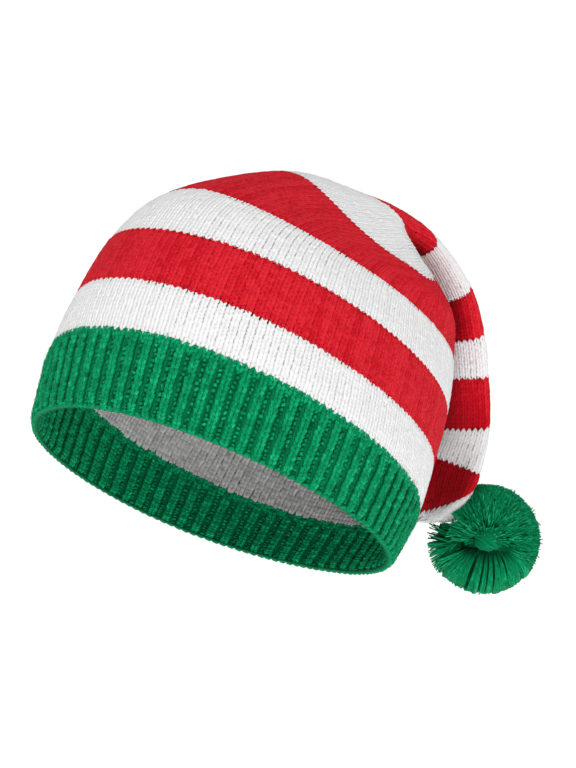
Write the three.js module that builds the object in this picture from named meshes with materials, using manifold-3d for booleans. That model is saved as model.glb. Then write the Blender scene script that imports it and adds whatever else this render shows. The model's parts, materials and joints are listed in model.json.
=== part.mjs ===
// Long tail beanie: a striped, knitted stocking cap in the form that a head gives it.
// Millimetres. Z is up as worn, Y runs to the back, X to the wearer's left.
// The origin is the centre of the head opening; the rim is lower at the back, and the tail hangs plumb.

import * as THREE from 'three';
import { mergeVertices } from 'three/addons/utils/BufferGeometryUtils.js';
import Module from 'manifold-3d';

const wasm = await Module();
wasm.setup();

const KNIT_WALL = 2.4;
const SEAM_GAP = 0.3;

const BAND_SIDES = 32;
const BAND_STEPS = 3;
const FOLD_STEPS = 5;
const STRAIGHT_STEPS = 2;

const CUFF_RIBS = 72;
const CUFF_STEPS = 2;
const RIB_DEPTH = 1.6;

const POMPOM_CENTRE = new THREE.Vector3(20, 173, -38);
const POMPOM_RADIUS = 27.3;
const POMPOM_CORE = 23;
const LOCK_COUNT = 56;
const LOCK_BASE = 6.5;
const LOCK_TIP = 4.2;
const LOCK_SIDES = 5;
const LOCK_UNEVEN = 1.6;

const GREEN = 0x0f9a60;
const RED = 0xd21424;
const WHITE = 0xf0f0f0;
const YARN_ROUGHNESS = 0.95;

// One section at every change of colour, from the rim over the crown and down the tail.
// front and back are the section's ends in the plane X = 0, as [y, z]; half is its half-width along X.
// sag lowers both flanks below the plane of the section, roll raises the left one and lowers the right one,
// side moves the section along X, and press pushes the back in and down where the tail lies on it.
// lift raises a change of colour at the back, as a share of its band.
const LEVEL = { sag: 0, roll: 0, side: 0, press: 0, lift: 0 };
const SECTIONS = [
  { front: [-78.5, 46], back: [78.5, -46], half: 89, sag: 1.5, roll: -1.5 },
  { front: [-66, 82], back: [98, -27], half: 91, roll: 0.5 },
  { front: [-55, 104], back: [114, -6], half: 85 },
  { front: [-38, 126], back: [128, 16], half: 78, sag: -2 },
  { front: [-11, 143], back: [143, 47], half: 66, sag: 5 },
  { front: [51, 148], back: [146, 89], half: 59, sag: 24, press: 9, lift: 0.65 },
  { front: [92, 137], back: [103, 109], half: 35, sag: 2 },
  { front: [121, 122], back: [121, 102], half: 34 },
  { front: [152, 95], back: [143, 79], half: 32 },
  { front: [166, 68], back: [150, 60], half: 31 },
  { front: [170, 45], back: [152, 42], half: 31 },
  { front: [171, 20], back: [153, 17], half: 31 },
  { front: [169, -3], back: [146, 6], half: 28, roll: -5 },
  { front: [169, -14], back: [141, -24], half: 23, roll: 5, side: 2 },
  { front: [168, -20], back: [158, -29], half: 7, side: 8 },
].map((row) => ({ ...LEVEL, ...row }));
const LIFT_FROM = -0.1;
const LIFT_FULL = 0.6;

// Each band lies between the section of its own row and the next one.
const BANDS = [
  { name: 'rib_cuff', colour: GREEN, steps: CUFF_STEPS },
  { name: 'white_band_1', colour: WHITE, steps: BAND_STEPS },
  { name: 'red_band_1', colour: RED, steps: BAND_STEPS },
  { name: 'white_band_2', colour: WHITE, steps: BAND_STEPS },
  { name: 'red_band_2', colour: RED, steps: BAND_STEPS },
  { name: 'white_band_3', colour: WHITE, steps: FOLD_STEPS },
  { name: 'red_band_3', colour: RED, steps: FOLD_STEPS },
  { name: 'white_band_4', colour: WHITE, steps: BAND_STEPS },
  { name: 'red_band_4', colour: RED, steps: BAND_STEPS },
  { name: 'white_band_5', colour: WHITE, steps: STRAIGHT_STEPS },
  { name: 'red_band_5', colour: RED, steps: STRAIGHT_STEPS },
  { name: 'white_band_6', colour: WHITE, steps: BAND_STEPS },
  { name: 'red_band_6', colour: RED, steps: BAND_STEPS },
  { name: 'white_tip', colour: WHITE, steps: BAND_STEPS },
];
const TIP = BANDS.length - 1;

function catmullRom(before, from, to, after, t) {
  const slope = (to - before) / 2;
  const nextSlope = (after - from) / 2;
  const rise = to - from;
  const square = 3 * rise - 2 * slope - nextSlope;
  const cube = slope + nextSlope - 2 * rise;
  return from + t * (slope + t * (square + t * cube));
}

// The section at height s, where whole numbers are the rows of the table.
function sectionAt(s) {
  const last = SECTIONS.length - 1;
  const index = Math.min(Math.floor(s), last - 1);
  const rows = [-1, 0, 1, 2].map((step) => SECTIONS[Math.min(Math.max(index + step, 0), last)]);
  const blend = (read) => catmullRom(...rows.map(read), s - index);
  return {
    front: new THREE.Vector3(0, blend((row) => row.front[0]), blend((row) => row.front[1])),
    back: new THREE.Vector3(0, blend((row) => row.back[0]), blend((row) => row.back[1])),
    half: blend((row) => row.half),
    sag: blend((row) => row.sag),
    roll: blend((row) => row.roll),
    side: blend((row) => row.side),
    press: blend((row) => row.press),
    lift: blend((row) => row.lift),
  };
}

// A point of the outer surface: angle 0 is at the back, a quarter turn is at +X, a half turn at the front.
function surfacePoint(s, angle) {
  const lifted = THREE.MathUtils.smoothstep(Math.cos(angle), LIFT_FROM, LIFT_FULL);
  const section = sectionAt(s + sectionAt(s).lift * lifted);
  const reach = section.back.clone().sub(section.front).multiplyScalar(0.5);
  const upward = new THREE.Vector3(0, -reach.z, reach.y).normalize();
  const flank = Math.sin(angle);
  const midward = Math.cos(angle);
  const point = section.front.clone().add(section.back).multiplyScalar(0.5);
  point.addScaledVector(reach, midward);
  point.addScaledVector(upward, -section.sag * (1 - midward ** 4));
  const pressed = section.press * Math.max(midward, 0) ** 4;
  point.x += section.side + section.half * flank;
  point.y -= pressed;
  point.z += section.roll * flank - pressed;
  return point;
}

function alongWale(s, angle) {
  const step = 0.01;
  const low = Math.max(s - step, 0);
  const high = Math.min(s + step, SECTIONS.length - 1);
  return surfacePoint(high, angle).sub(surfacePoint(low, angle)).normalize();
}

function surfaceNormal(s, angle) {
  const step = 0.01;
  const alongCourse = surfacePoint(s, angle + step).sub(surfacePoint(s, angle - step));
  return alongWale(s, angle).cross(alongCourse).normalize();
}

// A ring of points at height s, moved out of the surface by offset(index) and up the wale by shift.
function ring(s, sides, offset, shift) {
  return Array.from({ length: sides }, (_, index) => {
    const angle = (2 * Math.PI * index) / sides;
    const point = surfacePoint(s, angle);
    point.addScaledVector(surfaceNormal(s, angle), offset(index));
    return point.addScaledVector(alongWale(s, angle), shift);
  });
}

// The closed skin over a row of rings: it ends in two poles, or else the last ring joins the first.
// That last join is a band's upper edge: it is split the way the next band's lower edge is,
// so that the two edges lie parallel.
function skin(rings, poles) {
  const sides = rings[0].length;
  const points = rings.flat();
  const triangles = [];
  const joins = poles ? rings.length - 1 : rings.length;
  for (let level = 0; level < joins; level += 1) {
    const low = level * sides;
    const high = ((level + 1) % rings.length) * sides;
    const upperEdge = level === rings.length - 1;
    for (let index = 0; index < sides; index += 1) {
      const next = (index + 1) % sides;
      if (upperEdge) {
        triangles.push(low + index, high + index, high + next);
        triangles.push(low + index, high + next, low + next);
      } else {
        triangles.push(low + index, high + index, low + next);
        triangles.push(low + next, high + index, high + next);
      }
    }
  }
  if (poles) {
    const top = (rings.length - 1) * sides;
    for (let index = 0; index < sides; index += 1) {
      const next = (index + 1) % sides;
      triangles.push(points.length, index, next);
      triangles.push(points.length + 1, top + next, top + index);
    }
    points.push(...poles);
  }
  const geometry = new THREE.BufferGeometry().setFromPoints(points);
  geometry.setIndex(triangles);
  geometry.computeVertexNormals();
  return geometry;
}

function middle(points) {
  return points.reduce((sum, point) => sum.add(point), new THREE.Vector3()).divideScalar(points.length);
}

// One stripe of the tube: outer wall, inner wall and two edges, a seam gap short of its neighbours.
function bandGeometry(row, { steps, sides, relief }) {
  const heights = Array.from({ length: steps + 1 }, (_, index) => row + index / steps);
  const shifts = heights.map(() => 0);
  shifts[0] = row > 0 ? SEAM_GAP / 2 : 0;
  shifts[steps] = row < TIP ? -SEAM_GAP / 2 : 0;
  const outer = heights.map((s, level) => ring(s, sides, relief, shifts[level]));
  const lining = (index) => relief(index) - KNIT_WALL;
  const inner = heights.map((s, level) => ring(s, sides, lining, shifts[level]));
  const rings = [...inner.reverse(), ...outer];
  if (row < TIP) {
    return skin(rings, null);
  }
  const outerPole = middle(outer[steps]);
  const innerPole = outerPole.clone().addScaledVector(alongWale(TIP + 0.5, Math.PI / 2), -KNIT_WALL);
  return skin(rings, [innerPole, outerPole]);
}

function yarn(colour) {
  return new THREE.MeshStandardMaterial({ color: colour, roughness: YARN_ROUGHNESS, metalness: 0 });
}

function solidOf(geometry) {
  const bare = geometry.clone();
  bare.deleteAttribute('normal');
  bare.deleteAttribute('uv');
  const merged = mergeVertices(bare, 1e-4);
  const vertProperties = new Float32Array(merged.attributes.position.array);
  const triVerts = new Uint32Array(merged.index.array);
  return new wasm.Manifold(new wasm.Mesh({ numProp: 3, vertProperties, triVerts }));
}

function geometryOf(solid) {
  const mesh = solid.getMesh();
  const geometry = new THREE.BufferGeometry();
  geometry.setAttribute('position', new THREE.BufferAttribute(new Float32Array(mesh.vertProperties), 3));
  geometry.setIndex(new THREE.BufferAttribute(new Uint32Array(mesh.triVerts), 1));
  geometry.computeVertexNormals();
  return geometry;
}

// The space that the tail's gathered end takes in the pompom, with the seam gap round it.
function tailEnd() {
  const heights = [TIP - 1, TIP - 0.5, TIP, TIP + 0.33, TIP + 0.67, TIP + 1];
  const rings = heights.map((s) => ring(s, BAND_SIDES, () => SEAM_GAP, 0));
  const top = rings.length - 1;
  const pole = middle(rings[top]).addScaledVector(alongWale(TIP + 0.5, Math.PI / 2), SEAM_GAP);
  return skin(rings, [middle(rings[0]), pole]);
}

// A blunt lock of yarn from inside the core out to the ball's surface, in an even spiral over the ball.
function lockGeometry(index) {
  const goldenAngle = Math.PI * (3 - Math.sqrt(5));
  const height = 1 - (2 * index + 1) / LOCK_COUNT;
  const width = Math.sqrt(1 - height * height);
  const turn = index * goldenAngle;
  const direction = new THREE.Vector3(width * Math.cos(turn), width * Math.sin(turn), height);
  const root = POMPOM_CORE / 2;
  const length = POMPOM_RADIUS - root - LOCK_UNEVEN * (0.5 + 0.5 * Math.sin(5 * index));
  const lock = new THREE.CylinderGeometry(LOCK_TIP, LOCK_BASE, length, LOCK_SIDES);
  lock.translate(0, root + length / 2, 0);
  const upright = new THREE.Vector3(0, 1, 0);
  return lock.applyQuaternion(new THREE.Quaternion().setFromUnitVectors(upright, direction));
}

function pompomGeometry() {
  let ball = solidOf(new THREE.SphereGeometry(POMPOM_CORE, 16, 10));
  for (let index = 0; index < LOCK_COUNT; index += 1) {
    ball = ball.add(solidOf(lockGeometry(index)));
  }
  const hollow = tailEnd().translate(-POMPOM_CENTRE.x, -POMPOM_CENTRE.y, -POMPOM_CENTRE.z);
  return geometryOf(ball.subtract(solidOf(hollow)));
}

const hat = new THREE.Group();
hat.name = 'long_tail_beanie';

BANDS.forEach((band, row) => {
  const ribbed = row === 0;
  const sides = ribbed ? 2 * CUFF_RIBS : BAND_SIDES;
  const relief = ribbed ? (index) => (index % 2 ? -RIB_DEPTH : RIB_DEPTH) / 2 : () => 0;
  const mesh = new THREE.Mesh(bandGeometry(row, { steps: band.steps, sides, relief }), yarn(band.colour));
  mesh.name = band.name;
  hat.add(mesh);
});

const pompom = new THREE.Mesh(pompomGeometry(), yarn(GREEN));
pompom.name = 'pompom';
pompom.position.copy(POMPOM_CENTRE);
hat.add(pompom);

export default hat;
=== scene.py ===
# %% [markdown]
# # A long tail beanie
# This lesson dresses a striped stocking cap in its real knit: a green rib cuff, red and white
# stripes of plain knitting, a tail that folds over the crown, and a pompom of cut yarn.
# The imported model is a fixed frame. Every piece below takes the place of one of its nodes,
# in metres and in the same axes: Z up as worn, Y to the back, X to the wearer's left.

# %% Load the frame
import json
import math
from functools import partial

import bpy
import numpy as np
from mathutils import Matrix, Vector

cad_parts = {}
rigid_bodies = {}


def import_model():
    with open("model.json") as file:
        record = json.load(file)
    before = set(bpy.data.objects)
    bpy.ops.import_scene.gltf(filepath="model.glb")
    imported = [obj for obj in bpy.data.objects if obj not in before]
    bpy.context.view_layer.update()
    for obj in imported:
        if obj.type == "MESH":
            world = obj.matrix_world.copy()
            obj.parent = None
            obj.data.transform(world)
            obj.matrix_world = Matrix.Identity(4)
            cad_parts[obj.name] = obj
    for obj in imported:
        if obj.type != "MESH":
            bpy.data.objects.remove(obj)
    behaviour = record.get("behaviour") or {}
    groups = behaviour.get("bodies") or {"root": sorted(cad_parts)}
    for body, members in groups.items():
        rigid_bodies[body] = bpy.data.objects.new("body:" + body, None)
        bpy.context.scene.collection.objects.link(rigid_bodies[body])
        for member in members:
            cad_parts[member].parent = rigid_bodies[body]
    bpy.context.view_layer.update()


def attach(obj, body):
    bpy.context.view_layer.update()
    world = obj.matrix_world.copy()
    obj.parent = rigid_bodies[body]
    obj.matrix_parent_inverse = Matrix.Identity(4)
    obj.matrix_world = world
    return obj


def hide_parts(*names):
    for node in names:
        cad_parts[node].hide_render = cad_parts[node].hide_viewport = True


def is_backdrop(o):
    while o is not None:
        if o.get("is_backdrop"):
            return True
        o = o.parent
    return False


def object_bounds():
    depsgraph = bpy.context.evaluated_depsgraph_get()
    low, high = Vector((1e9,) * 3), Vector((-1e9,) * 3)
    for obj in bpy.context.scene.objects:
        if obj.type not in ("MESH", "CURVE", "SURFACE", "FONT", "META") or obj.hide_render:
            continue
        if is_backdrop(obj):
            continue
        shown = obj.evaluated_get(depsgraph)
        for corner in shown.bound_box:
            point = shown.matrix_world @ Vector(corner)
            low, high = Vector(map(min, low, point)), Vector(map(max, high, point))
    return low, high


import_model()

MM = 0.001

# %% [markdown]
# The camera stands where the photographer stood: in front of the hat, well to the wearer's left,
# a little above it and far away, so that the hat fills the picture with little perspective.
# A long lens keeps the stripes' ellipses as flat as they look in a catalogue picture.

# %% Camera
AIM = np.array([22.5, 28.2, 50.0]) * MM
DISTANCE = 2.5
AZIMUTH = math.radians(43)
ELEVATION = math.radians(6)
SENSOR = 36
LENS = 249.3
FAR_CLIP = 200

ahead = np.array([
    -math.sin(AZIMUTH) * math.cos(ELEVATION),
    math.cos(AZIMUTH) * math.cos(ELEVATION),
    -math.sin(ELEVATION),
])
bpy.ops.object.select_all(action="DESELECT")
bpy.ops.object.camera_add(
    location=AIM - DISTANCE * ahead,
    rotation=(math.pi / 2 - ELEVATION, 0, AZIMUTH),
)
camera = bpy.context.object
camera.data.sensor_fit = "VERTICAL"
camera.data.sensor_height = SENSOR
camera.data.lens = LENS
camera.data.clip_end = FAR_CLIP
bpy.context.scene.camera = camera
print("camera at", tuple(round(v, 3) for v in camera.location))

# %% [markdown]
# The studio is a wide white floor, a white sky and two soft lamps: a large one overhead, on the
# camera's side of the hat, and a small one just below the camera, which fills the shade under
# the tail. The hat is worn, so it floats well above the floor and casts no hard shadow there.

# %% Stage and light
FLOOR_DROP = 0.45
FLOOR_SIZE = 80
WHITE = (1, 1, 1, 1)
PAPER = (0.93, 0.93, 0.93, 1)
PAPER_GLOW = 0.57
SKY_GLOW = 0.5

bpy.ops.object.select_all(action="DESELECT")
bpy.ops.mesh.primitive_plane_add(size=FLOOR_SIZE, location=(0, 0, -FLOOR_DROP))
floor = bpy.context.object
floor.name = "studio_floor"
paper = bpy.data.materials.new("pale_paper")
paper.use_nodes = True
paper_shader = paper.node_tree.nodes["Principled BSDF"]
paper_shader.inputs["Base Color"].default_value = PAPER
paper_shader.inputs["Roughness"].default_value = 0.9
paper_shader.inputs["Specular IOR Level"].default_value = 0.1
paper_shader.inputs["Emission Color"].default_value = WHITE
paper_shader.inputs["Emission Strength"].default_value = PAPER_GLOW
floor.data.materials.append(paper)
floor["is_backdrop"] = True

sky = bpy.context.scene.world or bpy.data.worlds.new("studio_sky")
bpy.context.scene.world = sky
sky.use_nodes = True
sky_light = sky.node_tree.nodes["Background"]
sky_light.inputs["Color"].default_value = WHITE
sky_light.inputs["Strength"].default_value = SKY_GLOW
bpy.context.scene.view_settings.view_transform = "Standard"


def softbox(name, place, width, watts):
    """A square lamp at place that faces the middle of the hat."""
    bpy.ops.object.select_all(action="DESELECT")
    bpy.ops.object.light_add(type="AREA", location=place)
    lamp = bpy.context.object
    lamp.name = name
    lamp.data.shape = "SQUARE"
    lamp.data.size = width
    lamp.data.energy = watts
    facing = lamp.location.copy()
    facing.x -= AIM[0]
    facing.y -= AIM[1]
    facing.z -= AIM[2]
    lamp.rotation_euler = facing.to_track_quat("Z", "Y").to_euler()


softbox("key_lamp", place=(0.7, -0.65, 3.3), width=1.2, watts=37)
softbox("fill_lamp", place=(1.75, -1.9, -0.2), width=0.45, watts=20)

# %% [markdown]
# The hat is one knitted tube. Its shape is a short table: one section at every change of colour,
# from the rim over the crown and down the tail. A section has a front end and a back end in the
# middle plane and a half-width. Sag lowers its flanks, roll raises the left flank and lowers the
# right one, side moves it along X, and press pushes the back in where the tail lies on it.
# Lift raises a change of colour at the back, as a share of its stripe.
# A smooth curve through the rows gives every height s in between, so one function can say where
# any stitch of the tube sits. Height 0 is the rim, and every whole number a change of colour.

# %% The tube's shape
SECTION_COLUMNS = (
    "front_y", "front_z", "back_y", "back_z", "half", "sag", "roll", "side", "press", "lift",
)
SECTIONS = np.array([
    (-78.5, 46, 78.5, -46, 89, 1.5, -1.5, 0, 0, 0),
    (-66, 82, 98, -27, 91, 0, 0.5, 0, 0, 0),
    (-55, 104, 114, -6, 85, 0, 0, 0, 0, 0),
    (-38, 126, 128, 16, 78, -2, 0, 0, 0, 0),
    (-11, 143, 143, 47, 66, 5, 0, 0, 0, 0),
    (51, 148, 146, 89, 59, 24, 0, 0, 9, 0.65),
    (92, 137, 103, 109, 35, 2, 0, 0, 0, 0),
    (121, 122, 121, 102, 34, 0, 0, 0, 0, 0),
    (152, 95, 143, 79, 32, 0, 0, 0, 0, 0),
    (166, 68, 150, 60, 31, 0, 0, 0, 0, 0),
    (170, 45, 152, 42, 31, 0, 0, 0, 0, 0),
    (171, 20, 153, 17, 31, 0, 0, 0, 0, 0),
    (169, -3, 146, 6, 28, 0, -5, 0, 0, 0),
    (169, -14, 141, -24, 23, 0, 5, 2, 0, 0),
    (168, -20, 158, -29, 7, 0, 0, 8, 0, 0),
], float)
LIFT_FROM, LIFT_FULL = -0.1, 0.6
PEAK = 4  # how sharply sag fades out, and press sets in, at the end of a section
FINE_TURN = np.linspace(0, 2 * math.pi, 361)


def section_at(s):
    """The table's columns at heights s, on a Catmull-Rom curve through the rows."""
    last = len(SECTIONS) - 1
    row = np.clip(np.floor(s).astype(int), 0, last - 1)
    before, start, end, after = (SECTIONS[np.clip(row + k, 0, last)] for k in (-1, 0, 1, 2))
    t = (s - row)[:, None]
    slope, next_slope, rise = (end - before) / 2, (after - start) / 2, end - start
    square = 3 * rise - 2 * slope - next_slope
    cube = slope + next_slope - 2 * rise
    return dict(zip(SECTION_COLUMNS, (start + t * (slope + t * (square + t * cube))).T))


def unit(ways):
    """The directions, each with a length of 1."""
    return ways / np.linalg.norm(ways, axis=-1, keepdims=True)


def smooth_step(value, low, high):
    """0 up to low, 1 from high on, and a smooth change in between."""
    t = np.clip((value - low) / (high - low), 0, 1)
    return t * t * (3 - 2 * t)


def tube_point(s, angle):
    """Points of the hat's surface at height s. Angle 0 is the back, a quarter turn the left."""
    s = np.full(angle.shape, float(s))
    midward, flank = np.cos(angle), np.sin(angle)
    c = section_at(s + section_at(s)["lift"] * smooth_step(midward, LIFT_FROM, LIFT_FULL))
    reach_y, reach_z = (c["back_y"] - c["front_y"]) / 2, (c["back_z"] - c["front_z"]) / 2
    long = np.hypot(reach_y, reach_z)
    droop = c["sag"] * (1 - midward**PEAK)
    pressed = c["press"] * np.maximum(midward, 0) ** PEAK
    x = c["side"] + c["half"] * flank
    y = (c["front_y"] + c["back_y"]) / 2 + reach_y * midward + reach_z / long * droop - pressed
    z = (c["front_z"] + c["back_z"]) / 2 + reach_z * midward - reach_y / long * droop - pressed
    return np.stack([x, y, z + c["roll"] * flank], -1) * MM


def knit_point(s, turn):
    """Points at height s and at shares of a whole turn. Equal shares are equal lengths of knitting,
    also where the tail is flat."""
    steps = np.linalg.norm(np.diff(tube_point(s, FINE_TURN), axis=0), axis=1)
    share = np.concatenate([[0], np.cumsum(steps)]) / steps.sum()
    angle = np.interp(turn % 1, share, FINE_TURN) + 2 * math.pi * np.floor(turn)
    return tube_point(s, angle)


def girth_at(s):
    """The length of the tube's outline at height s."""
    return np.linalg.norm(np.diff(tube_point(s, FINE_TURN), axis=0), axis=1).sum()


print("girths in mm:", [round(girth_at(s) / MM) for s in range(len(SECTIONS))])

# %% [markdown]
# Plain knitting shows one V for every stitch: two slanting legs of yarn that come out from between
# the legs of the stitch below and go in behind the stitch above. One V is modelled by hand here.
# A leg starts as a thin four-sided cylinder. Its caps are drawn out to points, its foot is made
# slimmer and its top is bent back into the cloth. It is then slanted, and mirrored for the other
# leg. It has two relatives. The first round of a stripe hangs longer feet as teeth over the stripe
# below. The deep inside of the hat, which is seen only from below, is content with a simple
# leaf: a cone whose base is drawn out to a second point. Their sizes are in millimetres.

# %% One stitch
WALE = 4.0
COURSE = 2.07
ON_AXIS = 1e-4
LEAF_SIZE = (1.1, 0.6, 1.0)
LEAF_POINT = 0.8


def pick(piece, test):
    """Selects the vertices of the piece that pass the test, and leaves it in edit mode."""
    bpy.ops.object.mode_set(mode="EDIT")
    bpy.ops.mesh.select_mode(type="VERT")
    bpy.ops.mesh.select_all(action="DESELECT")
    bpy.ops.object.mode_set(mode="OBJECT")
    for vertex in piece.data.vertices:
        vertex.select = bool(test(vertex.co))
    bpy.ops.object.mode_set(mode="EDIT")


def settle():
    """Applies the place, turn and scale of the selected piece to its mesh."""
    bpy.ops.object.transform_apply(location=True, rotation=True, scale=True)


def spindle(wide, deep, straight, foot, head, foot_size):
    """A leg of yarn along Y: foot and head are how far its two points are drawn out, as (y, z)."""
    bpy.ops.object.select_all(action="DESELECT")
    bpy.ops.mesh.primitive_cylinder_add(
        vertices=4, radius=math.sqrt(2), depth=straight, end_fill_type="TRIFAN",
        rotation=(-math.pi / 2, math.pi / 4, 0),
    )
    leg = bpy.context.object
    settle()
    pick(leg, lambda co: True)
    bpy.ops.transform.resize(value=(wide / 2, 1, deep / 2))
    pick(leg, lambda co: co.y < 0)
    bpy.ops.transform.resize(value=(foot_size, 1, foot_size), center_override=(0, 0, 0))
    pick(leg, lambda co: co.y < 0 and max(abs(co.x), abs(co.z)) < ON_AXIS)
    bpy.ops.transform.translate(value=(0, *foot))
    pick(leg, lambda co: co.y > 0 and max(abs(co.x), abs(co.z)) < ON_AXIS)
    bpy.ops.transform.translate(value=(0, *head))
    bpy.ops.object.mode_set(mode="OBJECT")
    return leg


def arrays_of(piece):
    """The piece's points and triangles as arrays. The piece itself is then put away."""
    piece.data.calc_loop_triangles()
    points = np.array([v.co for v in piece.data.vertices])
    triangles = np.array([t.vertices for t in piece.data.loop_triangles])
    bpy.data.objects.remove(piece)
    return points, triangles


def pair_of_legs(leg, slant, aside):
    """Slants a leg, moves it beside the middle of its wale and joins its mirror image to it."""
    leg.rotation_euler = (0, 0, -slant)
    leg.location = (aside, 0, 0)
    settle()
    bpy.ops.object.duplicate()
    other = bpy.context.object
    other.scale = (-1, 1, 1)
    settle()
    bpy.ops.object.mode_set(mode="EDIT")
    bpy.ops.mesh.select_all(action="SELECT")
    bpy.ops.mesh.normals_make_consistent(inside=False)
    bpy.ops.object.mode_set(mode="OBJECT")
    leg.select_set(True)
    bpy.ops.object.join()
    return bpy.context.object


leg = spindle(
    wide=1.95, deep=1.3, straight=2.0, foot=(-1.4, 0.35), head=(1.8, -0.5), foot_size=0.95,
)
STITCH = arrays_of(pair_of_legs(leg, slant=math.radians(13), aside=0.96))
leg = spindle(
    wide=1.7, deep=1.4, straight=1.5, foot=(-1.5, 0.6), head=(1.1, -0.6), foot_size=0.75,
)
TOOTH = arrays_of(pair_of_legs(leg, slant=math.radians(25), aside=1.02))

bpy.ops.object.select_all(action="DESELECT")
bpy.ops.mesh.primitive_cone_add(
    vertices=3, radius1=1, radius2=0, depth=2, end_fill_type="TRIFAN",
)
leaf = bpy.context.object
pick(leaf, lambda co: co.z < 0 and max(abs(co.x), abs(co.y)) < ON_AXIS)
bpy.ops.transform.translate(value=(0, 0, -LEAF_POINT))
bpy.ops.mesh.select_all(action="SELECT")
bpy.ops.transform.resize(value=LEAF_SIZE)
bpy.ops.object.mode_set(mode="OBJECT")
leaf.rotation_euler = (-math.pi / 2, 0, 0)
settle()
LEAF = arrays_of(pair_of_legs(leaf, slant=math.radians(16), aside=0.95))
print("triangles: stitch", len(STITCH[1]), "tooth", len(TOOTH[1]), "leaf", len(LEAF[1]))

# %% [markdown]
# Thousands of stitches are laid on the tube. Each copy is stretched to its own place: its width
# follows the wale, the column of stitches, and its height the course, the round of stitches.
# So the knit tightens where the hat narrows, as real cloth does. Yarn is never even, so every
# leg also gets its own tone and a small shift. Both come from a seeded random stream. Light is
# painted into the tone as well: the legs that lean with the yarn's twist are lighter than those
# that lean against it, and what lies deep in a stitch gets a painted shade.

# %% Laying stitches
SEED = 20
LEAN_LIGHT = 0.04
MID_DEPTH = 0.1
TONE_RANGE = (0.4, 1.15)
LIE_RANGE = (0, 60)
rng = np.random.default_rng(SEED)


def lay(pattern, frames, tone=0.8, spread=0.07, jitter=0.05, depth_shade=0.5):
    """Copies a pattern, in millimetres of even knitting, to every frame. Returns its points,
    triangles, and two values a point: its tone and its lie along the yarn."""
    points, triangles = pattern
    place, across, along, out = frames
    n = len(place)
    side = (points[:, 0] > 0).astype(int)
    shift = rng.normal(0, jitter, (n, 1, 3)) + rng.normal(0, jitter, (n, 2, 3))[:, side]
    local = points + shift
    laid = place[:, None] + local[..., :1] * across[:, None] + local[..., 1:2] * along[:, None]
    laid = laid + local[..., 2:] * out[:, None]
    tones = np.reshape(tone, (-1, 1)) * (1 + rng.normal(0, spread, (n, 2))[:, side])
    # Painted light: legs that lean with the twist are lighter than their mirror images.
    tones = tones * (1 + LEAN_LIGHT * (1 - 2 * side))
    # Painted shade: the parts of a stitch that lie deeper are darker.
    tones = tones * np.clip(1 + depth_shade * (points[:, 2] - MID_DEPTH), *TONE_RANGE)
    lie = points + rng.uniform(*LIE_RANGE, (n, 1, 3))
    faces = triangles[:, ::-1] + len(points) * np.arange(n)[:, None, None]
    return laid.reshape(-1, 3), faces.reshape(-1, 3), tones.reshape(-1), lie.reshape(-1, 3)


def joined(parts):
    """Several results of lay() as one."""
    points, faces, tones, lie = zip(*parts)
    offsets = np.cumsum([0] + [len(p) for p in points[:-1]])
    faces = [f + start for f, start in zip(faces, offsets)]
    return tuple(np.concatenate(rows) for rows in (points, faces, tones, lie))


def mark(piece, tone, lie):
    """Stores the yarn's tone and lie on the piece's points, for its material to read."""
    stored = piece.data.attributes
    stored.new("tone", "FLOAT", "POINT").data.foreach_set("value", tone)
    stored.new("lie", "FLOAT_VECTOR", "POINT").data.foreach_set("vector", lie.ravel())


def stitched(name, laid):
    """A piece made of laid stitches."""
    points, faces, tone, lie = laid
    mesh = bpy.data.meshes.new(name)
    mesh.from_pydata(points.tolist(), [], faces.tolist())
    mesh.polygons.foreach_set("use_smooth", np.ones(len(faces), bool))
    piece = bpy.data.objects.new(name, mesh)
    bpy.context.collection.objects.link(piece)
    mark(piece, tone, lie)
    return piece


print("gauge:", WALE, "mm a wale,", COURSE, "mm a course")

# %% [markdown]
# Behind the stitches the cloth is a wall of yarn. It starts as a flat grid, as a piece of cloth
# lies flat before it is sewn. Every point of the grid moves to its place on the tube, the two
# edges that meet are merged, and a Solidify modifier gives the wall its thickness.
# Its tone is what shows between two stitches, and it is darker than they are, as painted shade.
# It is low at the upper edge of a stripe, where the slits between two colours let one look into
# the cloth, and it has a low value of its own inside, painted shade as well.

# %% The wall behind the stitches
TURN_STEP = 0.002
RISE_STEP = 0.01
RELIEF_SHADE = 0.15
MERGE_DISTANCE = 1e-6
SMOOTH_ANGLE = math.radians(60)


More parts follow.
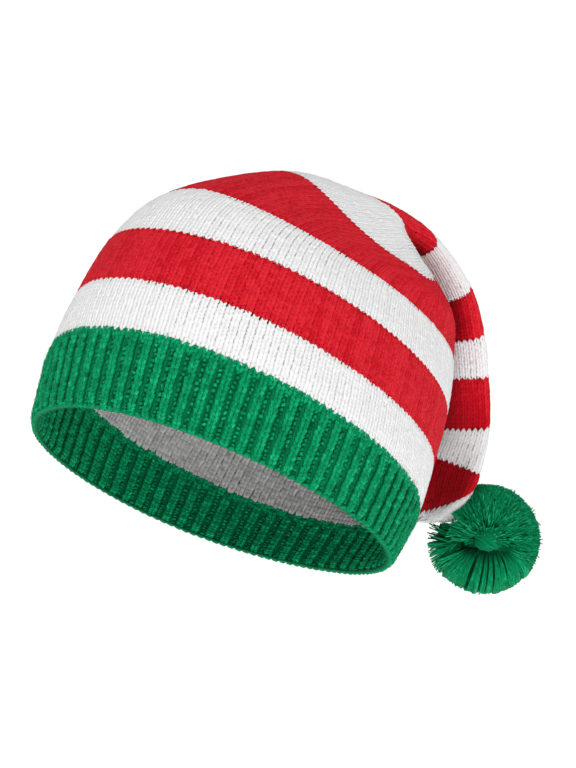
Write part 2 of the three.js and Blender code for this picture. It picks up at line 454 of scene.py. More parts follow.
def wall(name, heights, tones, depths, columns, thick, shade, inner_shade, relief=None):
    """A closed wall through the heights, at depths below the tube's surface."""
    rows = len(heights) - 1
    bpy.ops.object.select_all(action="DESELECT")
    bpy.ops.mesh.primitive_grid_add(x_subdivisions=columns, y_subdivisions=rows, size=2)
    piece = bpy.context.object
    piece.name = name
    flat = np.array([v.co for v in piece.data.vertices])
    turn = (1 - flat[:, 0]) / 2
    level = np.rint((flat[:, 1] + 1) / 2 * rows).astype(int)
    points = np.empty(flat.shape)
    tone = np.array(tones, float)[level]
    for k, s in enumerate(heights):
        ring = level == k
        here = turn[ring]
        across = knit_point(s, here + TURN_STEP) - knit_point(s, here - TURN_STEP)
        along = knit_point(s + RISE_STEP, here) - knit_point(s - RISE_STEP, here)
        out = unit(np.cross(along, across))
        lift = np.zeros(len(here)) if relief is None else relief(s, here)
        points[ring] = knit_point(s, here) + out * (lift - depths[k])[:, None] * MM
        # Painted shade: the wall is darker where its relief lies back, and the row tones darken the
        # gaps and slits.
        tone[ring] = (tone[ring] + RELIEF_SHADE * lift) * shade(points[ring], out)
    piece.data.vertices.foreach_set("co", points.ravel())
    mark(piece, tone, points / MM)
    bpy.ops.object.mode_set(mode="EDIT")
    bpy.ops.mesh.select_all(action="SELECT")
    bpy.ops.mesh.remove_doubles(threshold=MERGE_DISTANCE)
    bpy.ops.object.mode_set(mode="OBJECT")
    outer = len(piece.data.vertices)
    solid = piece.modifiers.new("thickness", "SOLIDIFY")
    solid.thickness = thick * MM
    solid.offset = -1
    bpy.ops.object.modifier_apply(modifier=solid.name)
    bpy.ops.object.shade_smooth_by_angle(angle=SMOOTH_ANGLE)
    stored = piece.data.attributes["tone"].data
    tone = np.empty(len(stored))
    stored.foreach_get("value", tone)
    # Painted shade: the inner side of the wall gets one low tone.
    tone[outer:] = inner_shade
    stored.foreach_set("value", tone)
    return piece


def one_piece(name, parts, node, material):
    """Joins the parts into the piece that stands for a node."""
    bpy.ops.object.select_all(action="DESELECT")
    for part in parts:
        part.select_set(True)
    bpy.context.view_layer.objects.active = parts[0]
    bpy.ops.object.join()
    piece = bpy.context.object
    piece.name = piece.data.name = name
    piece.data.materials.clear()
    piece.data.materials.append(material)
    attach(piece, "root")
    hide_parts(node)
    return piece


print("walls are ready to be rolled")

# %% [markdown]
# All the yarn is soft and matt: it scatters light, and its loose fibres catch a little at the rim,
# which the shader's sheen stands for. Two stored values shape its colour. The tone makes legs
# differ, and it carries painted light: low tones are painted shade, deep in the cloth down to the
# near black of a slit, and the highest reach a painted glint. The lie runs along the yarn, so a
# noise that is stretched that way reads as fibres, in colour and in a fine bump.

# %% Yarn
FIBRE_SCALE = (2.2, 0.7, 2.2)
NOISE_LOW, NOISE_HIGH = 0.3, 0.7
# The ramp's stops: slit and deep are painted shade, glint is a painted highlight.
SLIT_STOP, DEEP_STOP, LIGHT_STOP, GLINT_STOP = 0.05, 0.35, 0.8, 1.0
FIBRE_BUMP = 0.15 * MM


def yarn(name, slit, deep, light, glint, sheen, fibres):
    """A yarn material that goes through four colours with the tone."""
    material = bpy.data.materials.new(name)
    material.use_nodes = True
    nodes, links = material.node_tree.nodes, material.node_tree.links
    shader = nodes["Principled BSDF"]
    shader.inputs["Roughness"].default_value = 0.85
    shader.inputs["Specular IOR Level"].default_value = 0.08
    shader.inputs["Sheen Weight"].default_value = sheen
    shader.inputs["Sheen Roughness"].default_value = 0.45
    tone = nodes.new("ShaderNodeAttribute")
    tone.attribute_name = "tone"
    lie = nodes.new("ShaderNodeAttribute")
    lie.attribute_name = "lie"
    stretch = nodes.new("ShaderNodeMapping")
    stretch.inputs["Scale"].default_value = FIBRE_SCALE
    links.new(lie.outputs["Vector"], stretch.inputs["Vector"])
    fibre = nodes.new("ShaderNodeTexNoise")
    fibre.inputs["Scale"].default_value = 1.0
    fibre.inputs["Detail"].default_value = 3.0
    links.new(stretch.outputs["Vector"], fibre.inputs["Vector"])
    spread = nodes.new("ShaderNodeMapRange")
    spread.inputs["From Min"].default_value = NOISE_LOW
    spread.inputs["From Max"].default_value = NOISE_HIGH
    spread.inputs["To Min"].default_value = 1 - fibres
    spread.inputs["To Max"].default_value = 1 + fibres
    links.new(fibre.outputs["Fac"], spread.inputs["Value"])
    total = nodes.new("ShaderNodeMath")
    total.operation = "MULTIPLY"
    total.use_clamp = True
    links.new(tone.outputs["Fac"], total.inputs[0])
    links.new(spread.outputs["Result"], total.inputs[1])
    ramp = nodes.new("ShaderNodeValToRGB")
    stops = ramp.color_ramp.elements
    stops[0].position, stops[0].color = SLIT_STOP, (*slit, 1)
    stops[1].position, stops[1].color = GLINT_STOP, (*glint, 1)
    for position, colour in ((DEEP_STOP, deep), (LIGHT_STOP, light)):
        stops.new(position).color = (*colour, 1)
    links.new(total.outputs["Value"], ramp.inputs["Fac"])
    links.new(ramp.outputs["Color"], shader.inputs["Base Color"])
    bump = nodes.new("ShaderNodeBump")
    bump.inputs["Strength"].default_value = 0.5
    bump.inputs["Distance"].default_value = FIBRE_BUMP
    links.new(fibre.outputs["Fac"], bump.inputs["Height"])
    links.new(bump.outputs["Normal"], shader.inputs["Normal"])
    return material


YARNS = {
    "green_rib": yarn(
        "green_rib_yarn", slit=(0.0, 0.02, 0.008), deep=(0.0, 0.12, 0.045),
        light=(0.0, 0.31, 0.115), glint=(0.01, 0.45, 0.2), sheen=0.01, fibres=0.28,
    ),
    "white_knit": yarn(
        "white_knit_yarn", slit=(0.02, 0.018, 0.018), deep=(0.64, 0.64, 0.64),
        light=(0.84, 0.84, 0.84), glint=(0.88, 0.88, 0.88), sheen=0.06, fibres=0.06,
    ),
    "red_knit": yarn(
        "red_knit_yarn", slit=(0.02, 0.0, 0.0), deep=(0.28, 0.001, 0.005),
        light=(0.57, 0.004, 0.014), glint=(0.74, 0.02, 0.035), sheen=0.01, fibres=0.18,
    ),
    "green_yarn": yarn(
        "green_pompom_yarn", slit=(0.0, 0.012, 0.005), deep=(0.0, 0.11, 0.04),
        light=(0.0, 0.30, 0.108), glint=(0.02, 0.47, 0.21), sheen=0.0, fibres=0.2,
    ),
}
print("yarns:", ", ".join(YARNS))

# %% [markdown]
# A stitch needs a frame to lie in: a place, a width, a height and a direction out of the cloth.
# The body starts with two wales for each rib of the cuff. They get narrower with the hat, as far
# as knitting gives, and beyond that the outermost wales end at a seam down the back, as on a hat
# that is knitted flat and sewn up. Frames can be sunk into the cloth, turned to its inner side,
# and squeezed where a stitch is pulled tight, so that a slit opens beside it.

# %% Frames for stitches
RIBS = 72
LEAST_WALE = 3.0
LEAST_COURSES = 4
CLOTH = 2.4


def course_count(row):
    """How many rounds of stitches fill the stripe above a row of the table."""
    heights = np.linspace(row, row + 1, 9)
    lines = np.stack([knit_point(s, np.arange(16) / 16) for s in heights])
    length = np.linalg.norm(np.diff(lines, axis=0), axis=2).sum(0).mean()
    return max(LEAST_COURSES, round(length / (COURSE * MM)))


def wale_share(s):
    """The share of a whole turn that one wale takes at height s."""
    return max(1 / (2 * RIBS), LEAST_WALE * MM / girth_at(s))


def knit_frames(s, wale, high):
    """Place, width, height and outward direction of stitches in the wales at height s."""
    def at(height, shift):
        return knit_point(height, 0.5 + (wale + 0.5 + shift) * wale_share(height))
    across = at(s, 0.5) - at(s, -0.5)
    along = at(s + high / 2, 0) - at(s - high / 2, 0)
    out = unit(np.cross(along, across))
    return at(s, 0), across / WALE, along / COURSE, out * MM


def sunk(frames, depth):
    """The frames, moved depth into the cloth."""
    place, across, along, out = frames
    return place - depth * out, across, along, out


def inside_out(frames):
    """The frames on the inner side of the cloth, facing in."""
    place, across, along, out = frames
    return place - CLOTH * out, -across, along, -out


def squeezed(frames, least, rare):
    """The frames of a round that is pulled tight here and there, down to a least share of its
    width, so that slits open. The rarer, the fewer of them are wide."""
    place, across, along, out = frames
    tight = 1 - (1 - least) * rng.random((len(place), 1)) ** rare
    return place, across * tight, along, out


print("wales round the body:", 2 * RIBS)

# %% [markdown]
# Where the tail lies close to the body little light gets in, and the yarn is toned down there.
# On the tail that is the side that faces the body, up to its rounded edge. On the body it is
# the patch behind the crown, right under the tail.

# %% Shade between tail and body
TAIL_FACING = (-0.4, 0.6)
EDGE_BEFORE, EDGE_AFTER = 0.3, 0.12
TAIL_LOW = (-15, 55)
HIDDEN_LOSS, LOW_LOSS = 0.88, 0.75
UNDER_BACK = (95, 110)
UNDER_SIDE = (15, 32)
UNDER_LOSS = 0.7


def tail_light(points, out, edge):
    """How much light reaches the tail: little on the side that faces the body, up to its rounded
    edge, and less low down."""
    side, back, _ = unit(out).T
    facing = smooth_step(-back, *TAIL_FACING)
    hidden = 1 - smooth_step(abs(side), edge - EDGE_BEFORE, edge + EDGE_AFTER)
    low = 1 - smooth_step(points[:, 2] / MM, *TAIL_LOW)
    return (1 - HIDDEN_LOSS * facing * hidden) * (1 - LOW_LOSS * facing * low * (1 - hidden))


def under_tail(points, out):
    """How much light reaches the body, whichever way it faces."""
    x, y, _ = points.T / MM
    return 1 - UNDER_LOSS * smooth_step(y, *UNDER_BACK) * (1 - smooth_step(abs(x), *UNDER_SIDE))


print("shade is ready for the tail and the body")

# %% [markdown]
# The plain stripes are knitted in one go, round by round, from the cuff to the tip. The last round
# of a stripe is pulled tight, and slits open between its wales. Some stitches of the white
# stripes are tight as well, which opens their fine dashes. Slits and dashes are dark with the
# painted shade of the wall behind.
# The stripes up to the crown also show their inner side through the opening, so they are lined
# with stitches that face in: whole Vs in the lowest stripe, leaves farther up. Their inner side
# is dark with painted shade.

# %% Plain stripes
PLAIN_BANDS = (
    "white_band_1", "red_band_1", "white_band_2", "red_band_2", "white_band_3", "red_band_3",
    "white_band_4", "red_band_4", "white_band_5", "red_band_5", "white_band_6", "red_band_6",
    "white_tip",
)
LINING = {"white_band_1": STITCH}
LINING |= dict.fromkeys(("red_band_1", "white_band_2", "red_band_2", "white_band_3"), LEAF)
BEND_ROW = 6
SHADE_EDGES = {"red_band_3": 0.45, "white_band_4": 0.0, "red_band_4": 0.38}
TAIL_EDGE = 0.25

# How deep the rounds lie, in millimetres, and how tight they are: a least width and a rarity.
SINK = 0.35
LAST_SINK = SINK + 0.25
LAST_SQUEEZE = (0.62, 1)
WHITE_SQUEEZE = (0.76, 3)
LINING_SQUEEZE = (0.78, 3)
SEAM_SHARE = 0.2

# Tones of the stitches, how much they differ, how much painted shade they get with depth, and the
# painted shade of the inner side.
FACE_TONE = 0.8
STREAKS = 0.03
FACE_SPREAD = 0.05
DEPTH_SHADE = {"white_knit": 0.2, "red_knit": 0.45}
LINING_DEPTH_SHADE = 0.15
INNER_SHADE = 0.22
INNER_GAP_SHADE = 0.1

# The wall: depths in millimetres, rows in courses from the stripe's two edges, and tones of its
# rows, which are painted shade between the stitches and in the slits.
WALL_DEPTH = 0.35
SLIT_DEPTH = 0.8
LINING_ROOM = 0.5
LEAST_COLUMNS = 24
EDGE_ROWS = (0.1, 0.7, 1.2)
FIRST_ROW, LAST_ROW = 2.5, 1.6
LOW_TONES, HIGH_TONES = [0.5, 0.5, 0.5], [0.25, 0, 0]
GAP_SHADE = {"white_knit": 0.25, "red_knit": 0.65}

streaks = rng.normal(1, STREAKS, 2 * RIBS)
for row, node in enumerate(PLAIN_BANDS, start=1):
    courses = course_count(row)
    step = 1 / courses
    slot = "white_knit" if node.startswith("white") else "red_knit"
    shade = under_tail
    if row >= BEND_ROW:
        shade = partial(tail_light, edge=SHADE_EDGES.get(node, TAIL_EDGE))
    laid = []
    for course in range(courses):
        s = row + (course + 0.5) * step
        half = int(0.5 / wale_share(s) + SEAM_SHARE)
        wales = np.arange(-half, half)
        frames = knit_frames(s, wales, step)
        tone = FACE_TONE * streaks[wales + RIBS] * shade(frames[0], frames[3])
        outer = sunk(frames, SINK)
        if course == courses - 1:
            outer = squeezed(sunk(frames, LAST_SINK), *LAST_SQUEEZE)
        elif slot == "white_knit" and course > 0:
            outer = squeezed(outer, *WHITE_SQUEEZE)
        pattern = TOOTH if course == 0 else STITCH
        laid.append(lay(pattern, outer, tone, spread=FACE_SPREAD, depth_shade=DEPTH_SHADE[slot]))
        if node in LINING:
            inner = squeezed(sunk(inside_out(frames), SINK), *LINING_SQUEEZE)
            laid.append(lay(LINING[node], inner, INNER_SHADE, depth_shade=LINING_DEPTH_SHADE))
    knit = stitched(node + "_stitches", joined(laid))
    first, last = row + FIRST_ROW * step, row + 1 - LAST_ROW * step
    heights = [row + k * step for k in EDGE_ROWS]
    heights += list(np.linspace(first, last, max(2, courses // 3)))
    heights += [row + 1 - k * step for k in reversed(EDGE_ROWS)]
    middle = len(heights) - 2 * len(EDGE_ROWS)
    back = wall(
        node + "_wall", heights,
        tones=LOW_TONES + [GAP_SHADE[slot]] * middle + HIGH_TONES,
        depths=[SLIT_DEPTH] * 2 + [WALL_DEPTH] * (middle + 2) + [SLIT_DEPTH] * 2,
        columns=max(LEAST_COLUMNS, half),
        thick=CLOTH - WALL_DEPTH - (LINING_ROOM if node in LINING else 0),
        shade=shade,
        inner_shade=INNER_GAP_SHADE if LINING.get(node) is STITCH else INNER_SHADE,
    )
    piece = one_piece(node + "_knit", [knit, back], node, YARNS[slot])
    print(node, courses, "courses, ends on", 2 * half, "wales,", len(piece.data.polygons), "faces")

# %% [markdown]
# Yarn that isn't knitted is a strand: a three-sided tube along a path of a few points, closed at
# both ends. The cuff's loose fibres and the whole pompom are made of strands.

# %% Strands
STRAND_LIE = 12
SIDE_LIE = 0.6
CORNERS = (0, 2 * math.pi / 3, 4 * math.pi / 3)


def strands(paths, tones, thick):
    """Three-sided strands along paths, with a tone at every point."""
    n, k, _ = paths.shape
    ahead = unit(np.gradient(paths, axis=1))
    first = unit(np.cross(ahead, rng.normal(size=(n, 1, 3))))
    second = np.cross(ahead, first)
    rings = np.stack([
        paths + thick / 2 * MM * (math.cos(a) * first + math.sin(a) * second) for a in CORNERS
    ], axis=2)
    faces = [(0, 2, 1), (3 * k - 3, 3 * k - 2, 3 * k - 1)]
    for low in range(0, 3 * k - 3, 3):
        high = low + 3
        for a in range(3):
            b = (a + 1) % 3
            faces += [(low + a, low + b, high + b), (low + a, high + b, high + a)]
    faces = np.array(faces) + 3 * k * np.arange(n)[:, None, None]
    lie = np.zeros((n, k, 3, 3))
    lie[..., 1] = np.linspace(0, STRAND_LIE, k)[None, :, None]
    lie[..., 0] = np.arange(3) * SIDE_LIE
    lie += rng.uniform(*LIE_RANGE, (n, 1, 1, 3))
    tones = np.repeat(tones[:, :, None], 3, axis=2)
    return rings.reshape(-1, 3), faces.reshape(-1, 3), tones.reshape(-1), lie.reshape(-1, 3)


print("a strand has", len(CORNERS), "sides")

# %% [markdown]
# The cuff is a 1x1 rib: a wale that faces out, then one that faces in, all the way round. The
# wales that face out stand up as ribs of thick Vs, and between them lies a gutter where only the
# bumps of the others show. Inside it is the same the other way round. Towards the rim the ribs
# run out into a rolled edge, a cord of slanting loops from the cast-on, and at the top into two
# plain rounds. Loose fibres arch over the ribs and make the edge of every stitch soft.

# %% Rib cuff
CUFF_COURSES = 18
FIRST_COURSE, SPARE_COURSE = 0.9, 0.4
PLAIN_TOP = 2
RIB_HEIGHT = 0.95
RIBS_START, RIBS_END = (0.3, 2.6), (15.2, 17.2)

# How deep the rounds lie, in millimetres, and their tones: the inner side and the purl bumps in the
# gutters are darker, as painted shade.
RIB_SINK = SINK + 0.3
PURL_SINK = 0.1
CUFF_TONE, CUFF_INNER_SHADE = 0.65, 0.58
PURL_SHADE = 0.9
RIM_HEIGHT = 0.01
RIM_TONE = 0.6

# The wall behind the ribs. Its tones are painted shade: in the gutters, in the slits at the top and
# inside.
CUFF_WALL_DEPTH = 0.8
CUFF_WALL_TONE, CUFF_WALL_TOP = 0.55, [0.2, 0]
CUFF_WALL_INNER = 0.4

# Loose fibres: how many a round, how far they lean in degrees, their sizes in millimetres, and
# their light tone, a painted glint.
FIBRES = 140
FIBRE_LEAN = 50
FIBRE_REACH, FIBRE_RISE = (0.8, 2.0), (0.15, 0.5)
FIBRE_BASE = 0.4
FIBRE_GLINT, FIBRE_THICK = 0.95, 0.16


def slanted(leg, slant):
    """A single leg, turned in the plane of the cloth."""
    leg.rotation_euler = (0, 0, slant)
    settle()
    return leg


rib_leg = spindle(
    wide=1.8, deep=1.9, straight=2.0, foot=(-0.8, 0.2), head=(1.1, -0.7), foot_size=0.88,
)
RIB_STITCH = arrays_of(pair_of_legs(rib_leg, slant=math.radians(16), aside=1.0))
bump = spindle(
    wide=1.3, deep=1.2, straight=1.2, foot=(-0.8, -0.3), head=(0.8, -0.3), foot_size=1.0,
)
PURL_BUMP = arrays_of(slanted(bump, math.radians(68)))
loop = spindle(
    wide=2.3, deep=3.0, straight=2.6, foot=(-1.2, -0.2), head=(1.2, -0.2), foot_size=1.0,
)
EDGE_LOOP = arrays_of(slanted(loop, math.radians(66)))


def rib_fade(s):
    """The share of the ribs' height at height s: they run out towards the rim and the stripes."""
    course = s * CUFF_COURSES
    return float(smooth_step(course, *RIBS_START) * (1 - smooth_step(course, *RIBS_END)))


def rib_relief(s, turn):
    """How far the wall behind the ribs stands out or lies back at shares of a whole turn."""
    wave = np.cos(2 * math.pi * RIBS * (turn - 0.5) - math.pi / 2)
    return RIB_HEIGHT * rib_fade(s) * wave


def fuzz(frames, n):
    """n loose fibres that arch over the cloth at random frames."""
    chosen = rng.integers(0, len(frames[0]), n)
    place, across, along, out = (f[chosen] for f in frames)
    way = np.radians(rng.normal(0, FIBRE_LEAN, (n, 1)))
    reach = rng.uniform(*FIBRE_REACH, (n, 1)) * (np.cos(way) * along + np.sin(way) * across)
    start = place + rng.uniform(-1.6, 1.6, (n, 1)) * across + rng.uniform(-1, 1, (n, 1)) * along
    top = start + rng.uniform(*FIBRE_RISE, (n, 1)) * out
    paths = np.stack([start - reach, top, start + reach], 1)
    return strands(paths, np.full((n, 3), FIBRE_GLINT), FIBRE_THICK)


ribs, gutters = np.arange(-RIBS, RIBS, 2), np.arange(-RIBS + 1, RIBS, 2)
laid = []
for course in range(CUFF_COURSES):
    s = (course + FIRST_COURSE) / (CUFF_COURSES + SPARE_COURSE)
    high = RIB_HEIGHT * rib_fade(s)
    crest = knit_frames(s, ribs, 1 / CUFF_COURSES)
    trough = knit_frames(s, gutters, 1 / CUFF_COURSES)
    for ridge, gutter, tone in (
        (crest, trough, CUFF_TONE), (inside_out(trough), inside_out(crest), CUFF_INNER_SHADE),
    ):
        raised = sunk(ridge, RIB_SINK - high)
        laid.append(lay(RIB_STITCH, raised, tone, spread=0.14, jitter=0.1, depth_shade=0.3))
        if course >= CUFF_COURSES - PLAIN_TOP:
            lying = sunk(gutter, RIB_SINK + high)
            laid.append(lay(RIB_STITCH, lying, tone, spread=0.1, jitter=0.08, depth_shade=0.3))
        else:
            lying = sunk(gutter, high + PURL_SINK)
            laid.append(lay(PURL_BUMP, lying, PURL_SHADE * tone, spread=0.25, jitter=0.2))
    laid.append(fuzz(sunk(crest, -FIBRE_BASE - high), FIBRES))
rim = sunk(knit_frames(RIM_HEIGHT, np.arange(-RIBS, RIBS), 1 / CUFF_COURSES), CLOTH / 2)
laid.append(lay(EDGE_LOOP, rim, RIM_TONE, spread=0.08, jitter=0.05))
knit = stitched("cuff_stitches", joined(laid))
heights = [*np.linspace(0.005, 0.1, 3), *np.linspace(0.2, 0.85, 7), 0.9, 0.95, 0.995]
back = wall(
    "cuff_wall", heights,
    tones=[CUFF_WALL_TONE] * (len(heights) - len(CUFF_WALL_TOP)) + CUFF_WALL_TOP,
    depths=[CUFF_WALL_DEPTH] * len(heights),
    columns=6 * RIBS,
    thick=CLOTH - 2 * CUFF_WALL_DEPTH,
    shade=under_tail,
    inner_shade=CUFF_WALL_INNER,
    relief=rib_relief,
)
piece = one_piece("rib_cuff_knit", [knit, back], "rib_cuff", YARNS["green_rib"])
print("rib_cuff", CUFF_COURSES, "courses,", RIBS, "ribs,", len(piece.data.polygons), "faces")

# %% [markdown]
# The pompom is a bundle of yarn, tied in the middle and cut to a ball. It has axes of its own:
# across to the camera's right, upward, and out towards the camera, where the ball is parted.
# Every strand is a path of a few points along these axes, in radii of the ball.

# %% The pompom's axes
POMPOM_CENTRE = np.array([20, 173, -38]) * MM
POMPOM_RADIUS = 27.2 * MM
PARTING = unit(np.array([0.678, -0.727, 0.105]))
ACROSS = np.array([0.731, 0.682, 0.0])
ACROSS = unit(ACROSS - PARTING * ACROSS.dot(PARTING))
AXES = np.stack([ACROSS, np.cross(PARTING, ACROSS), PARTING])
# Painted glints: a share of the strands is made lighter.
GLINT_SHARE, GLINT = 0.06, 0.25


def in_ball(points):
    """Points in radii along the ball's own axes, as places of the hat."""
    return POMPOM_CENTRE + POMPOM_RADIUS * (points @ AXES)


def even_ways(n):
    """n directions spread evenly over the ball."""
    k = np.arange(n)
    y = 1 - (2 * k + 1) / n
    turn = k * math.pi * (3 - math.sqrt(5))
    r = np.sqrt(1 - y * y)
    return np.stack([r * np.cos(turn), r * np.sin(turn), y], 1)


def slerp(a, b, t):
    """Points on the arcs between directions a and b, at shares t."""
    angle = np.arccos(np.clip((a * b).sum(1), -1, 1))[:, None, None]
    t = t[None, :, None]
    return (np.sin((1 - t) * angle) * a[:, None] + np.sin(t * angle) * b[:, None]) / np.sin(angle)


def shades(n, ramp, middle=0.7, spread=0.12):
    """Tones for n strands: painted shade along a ramp from root to end, and a few painted glints.
    """
    own = rng.normal(middle, spread, (n, 1)) + GLINT * (rng.random((n, 1)) < GLINT_SHARE)
    return own * np.array(ramp)[None]


print("pompom:", round(2 * POMPOM_RADIUS / MM, 1), "mm across")

# %% [markdown]
# Most strands stand out from the tie in small locks and show their blunt ends. Those near the
# parting are combed away from it, and a few are left longer than the rest. Three sides stay free:
# the skirt below the parting, the side where tufts stick out, and the side that the tail is
# tied to.

# %% Standing strands
STANDING, LOCKS = 11000, 500

# The limits of the three free sides.
SKIRT_TOP, SKIRT_END, SKIRT_SLANT = -0.02, 0.45, -0.55
TAILWARD = -0.5
TUFT_LOW, TUFT_HIGH, TUFT_BACK = -0.6, 0.4, -0.45
TIE_LOW, TIE_BACK = 0.08, -0.75

# How far locks and strands stray, are combed and are gathered, and which are longer.
LOCK_STRAY, STRAND_STRAY = 0.03, 0.05
COMBED, GATHERED = 0.8, 0.15
LONG_SHARE, LONGER = 0.02, 0.05
STANDING_RADII = np.array([0.72, 0.92, 1.0])

standing = even_ways(STANDING)
x, y, z = standing.T
skirted = (z > 0) & (y < SKIRT_TOP) & ((x < SKIRT_END) | (y < SKIRT_SLANT * x))
tufted = (x < TAILWARD) & (y > TUFT_LOW) & (y < TUFT_HIGH) & (z > TUFT_BACK)
tied = (x < TAILWARD) & (y > TIE_LOW) & (z > TIE_BACK)
covered = skirted | tufted | tied
standing, sheltered = standing[~covered], standing[covered]
n = len(standing)
locks = unit(even_ways(LOCKS) + rng.normal(0, LOCK_STRAY, (LOCKS, 3)))
lock = locks[(standing @ locks.T).argmax(1)]
outward = standing * [1, 1, 0]
combed = COMBED * np.maximum(standing[:, 2:], 0)
stray = rng.normal(0, STRAND_STRAY, (n, 3))
tip = unit(standing + combed * outward + GATHERED * (lock - standing) + stray)
reach = rng.uniform(0.96, 1.01, (n, 1, 1)) + LONGER * (rng.random((n, 1, 1)) < LONG_SHARE)
t = np.array([0, 0.5, 1.0])
paths = slerp(standing, tip, t) * STANDING_RADII[None, :, None] * reach
laid = [strands(in_ball(paths), shades(n, (0.7, 0.95, 1.1), 0.7, 0.1), thick=0.6)]
print("standing strands:", n)

# %% [markdown]
# Below the parting, across a cleft, long locks fan down to the rim. Their roots are dark with
# painted shade, which makes the cleft dark. Each lock has a middle line, a width, a swell and a
# tone of its own.

# %% Fan
FAN_LOCKS, FAN_STRANDS = 18, 90
FAN_FROM, FAN_TO = -152, -28
CLEFT_MIDDLE, CLEFT_HALF, CLEFT_HEIGHT = 0.06, 0.58, -0.2

middle = np.linspace(FAN_FROM, FAN_TO, FAN_LOCKS) + rng.uniform(-2, 2, FAN_LOCKS)
turn = np.radians(np.repeat(middle, FAN_STRANDS))
width = np.radians(np.repeat(rng.uniform(1.8, 3.6, FAN_LOCKS), FAN_STRANDS))
swell = np.repeat(rng.uniform(0.955, 1.02, FAN_LOCKS), FAN_STRANDS)
lock_tone = np.repeat(rng.uniform(0.85, 1.1, FAN_LOCKS), FAN_STRANDS)
n = len(turn)
fan = turn + width * rng.uniform(-1, 1, n)
layer = rng.uniform(0, 1, n)
start = unit(np.stack([
    CLEFT_MIDDLE + CLEFT_HALF * np.cos(turn) + 0.25 * (fan - turn),
    np.full(n, CLEFT_HEIGHT),
    0.8 + 0.1 * np.sin(turn) ** 2,
], 1))
end = unit(np.stack([np.cos(fan), np.sin(fan), 0.3 - 0.55 * layer], 1))
t = np.linspace(0, 1, 5)
rise = np.interp(t, [0, 0.25, 0.5, 1], [0.72, 0.93, 1.0, 1.01])
paths = slerp(start, end, t) * rise[None, :, None]
paths *= (swell * (0.95 + 0.05 * layer) + rng.normal(0, 0.008, n))[:, None, None]
tones = shades(n, (0.25, 0.8, 1.0, 1.05, 1.0)) * lock_tone[:, None]
laid.append(strands(in_ball(paths), tones, thick=0.75))
print("fan:", FAN_LOCKS, "locks,", n, "strands")

# %% [markdown]
# Beside the parting a few loose tufts stick out towards the tail. A tuft has a direction and half
# a width in degrees, a number of strands and a tone.

# %% Tufts
TUFTS = (
    (166, 3, 16, 0.45),
    (176, 4, 24, 0.5),
    (187, 5, 50, 0.65),
    (199, 6, 70, 0.7),
    (211, 6, 70, 0.7),
)
TUFT_ROOT, TUFT_ARCH = -0.45, 0.1

for turn, width, n, tone in TUFTS:
    fan = np.radians(turn + width * rng.uniform(-1, 1, n))
    root_y, root_z = rng.normal(-0.02, 0.04, n), rng.uniform(0.35, 0.65, n)
    start = np.stack([np.full(n, TUFT_ROOT), root_y, root_z], 1)
    end = np.stack([np.cos(fan), np.sin(fan), rng.uniform(-0.1, 0.25, n)], 1)
    end *= rng.uniform(0.88, 1.06, (n, 1))
    t = np.linspace(0, 1, 4)[None, :, None]
    arch = TUFT_ARCH * np.sin(math.pi * t) * [0, 0, 1]
    paths = start[:, None] * (1 - t) + end[:, None] * t + arch
    laid.append(strands(in_ball(paths), shades(n, (0.3, 0.7, 1.0, 1.0), tone, 0.18), thick=0.6))
print("tufts:", len(TUFTS))

# %% [markdown]
# A folded loop of yarn bulges out of the parting as a rounded nub. Its strands wind from one end
# to the other and are darker towards their ends, as painted shade. On the side towards the tail,
# short strands, dark with painted shade, fill the ball under the tufts and the skirt, so that its
# smooth core doesn't show from behind.

# %% Nub and short strands
NUB_STRANDS = 280
NUB_LENGTH, NUB_SIZE, NUB_WIND = 0.34, 0.22, 1.8
NUB_STOPS = np.radians((8, 30, 55, 80, 105, 130, 160))
NUB_SHADE_RAMP = (0.4, 0.7, 0.85, 0.95, 1.0, 1.0, 0.9)
SHORT_TOP, SHORT_FRONT = 0.33, 0.35
SHORT_RADII = np.array([0.5, 0.86])

n = NUB_STRANDS
around = np.radians(rng.uniform(-130, 130, n))
size = NUB_SIZE * rng.uniform(0.9, 1.0, n)
path = []
for angle in NUB_STOPS:
    lengthwise = -math.cos(angle)
    twist = around - NUB_WIND * lengthwise
    drop = 0.2 * max(lengthwise, 0)
    path.append(np.stack([
        np.full(n, 0.1 + NUB_LENGTH * lengthwise),
        0.03 + 0.06 * lengthwise + size * math.sin(angle) * np.sin(twist),
        0.78 - 0.1 * lengthwise - drop + size * math.sin(angle) * np.cos(twist),
    ], 1))
laid.append(strands(in_ball(np.stack(path, 1)), shades(n, NUB_SHADE_RAMP, 0.57, 0.1), thick=0.7))

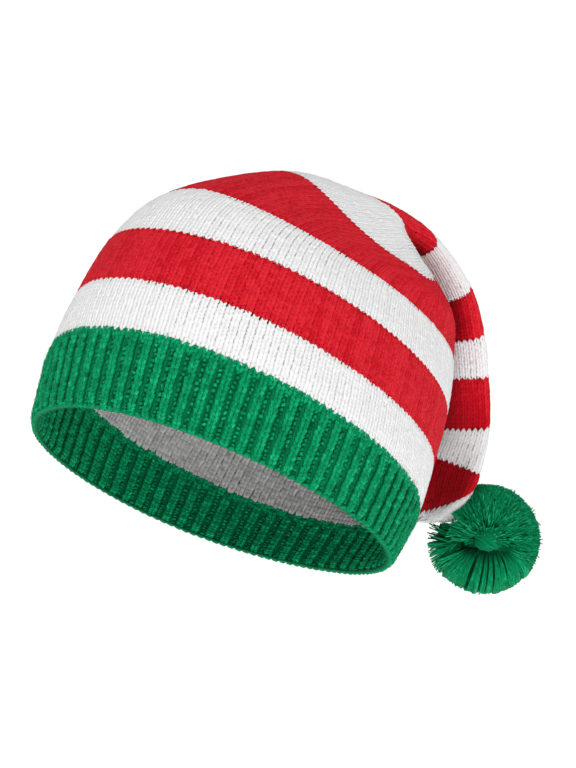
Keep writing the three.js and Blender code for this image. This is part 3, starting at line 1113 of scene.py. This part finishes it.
# Painted shade: the short strands are dark.
_, y, z = sheltered.T
short = sheltered[(y < SHORT_TOP) & (z < SHORT_FRONT)][::2]
paths = short[:, None] * SHORT_RADII[None, :, None]
laid.append(strands(in_ball(paths), shades(len(short), (0.35, 0.6)), thick=1.3))
print("nub:", n, "strands, short strands:", len(short))

# %% [markdown]
# Under the strands the yarn is packed so tight that it is solid: a core fills the ball, and a
# small one the nub, both dark with painted shade. Both are balls that are drawn out along the
# pompom's axes.

# %% Core and pompom
CORE_SIZE, CORE_PLACE = (0.64, 0.72, 0.72), (0.1, -0.03, 0)
# Painted shade: the cores are dark.
CORE_SHADE = 0.25
NUB_CORE_SIZE, NUB_CORE_PLACE = (0.24, 0.17, 0.17), (0.02, 0.03, 0.77)
NUB_CORE_SHADE = 0.45
UNEVEN = 0.03


def kernel(name, size, place, tone):
    """A solid of packed yarn under the strands, from a ball that is drawn out along the axes."""
    bpy.ops.object.select_all(action="DESELECT")
    bpy.ops.mesh.primitive_ico_sphere_add(subdivisions=4, radius=1)
    piece = bpy.context.object
    piece.name = name
    ball = unit(np.array([v.co for v in piece.data.vertices]))
    x, y, z = ball[:, :1], ball[:, 1:2], ball[:, 2:]
    uneven = 1 + UNEVEN * np.sin(9 * x) * np.sin(8 * y) * np.sin(7 * z)
    points = in_ball(np.array(place) + ball * size * uneven)
    piece.data.vertices.foreach_set("co", points.ravel())
    bpy.ops.object.shade_smooth()
    mark(piece, np.full(len(points), tone), points / MM)
    return piece


ball = stitched("pompom_strands", joined(laid))
core = kernel("pompom_core", CORE_SIZE, CORE_PLACE, CORE_SHADE)
nub = kernel("pompom_nub", NUB_CORE_SIZE, NUB_CORE_PLACE, NUB_CORE_SHADE)
piece = one_piece("pompom_yarn", [ball, core, nub], "pompom", YARNS["green_yarn"])
print("pompom:", len(piece.data.polygons), "faces")

# %% [markdown]
# The box of the finished pieces is printed: the stitches stand only a little way out of the
# frame's solids.

# %% Sizes and finish
low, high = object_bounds()
print("box of the pieces:", [tuple(round(v, 4) for v in c) for c in (low, high)])
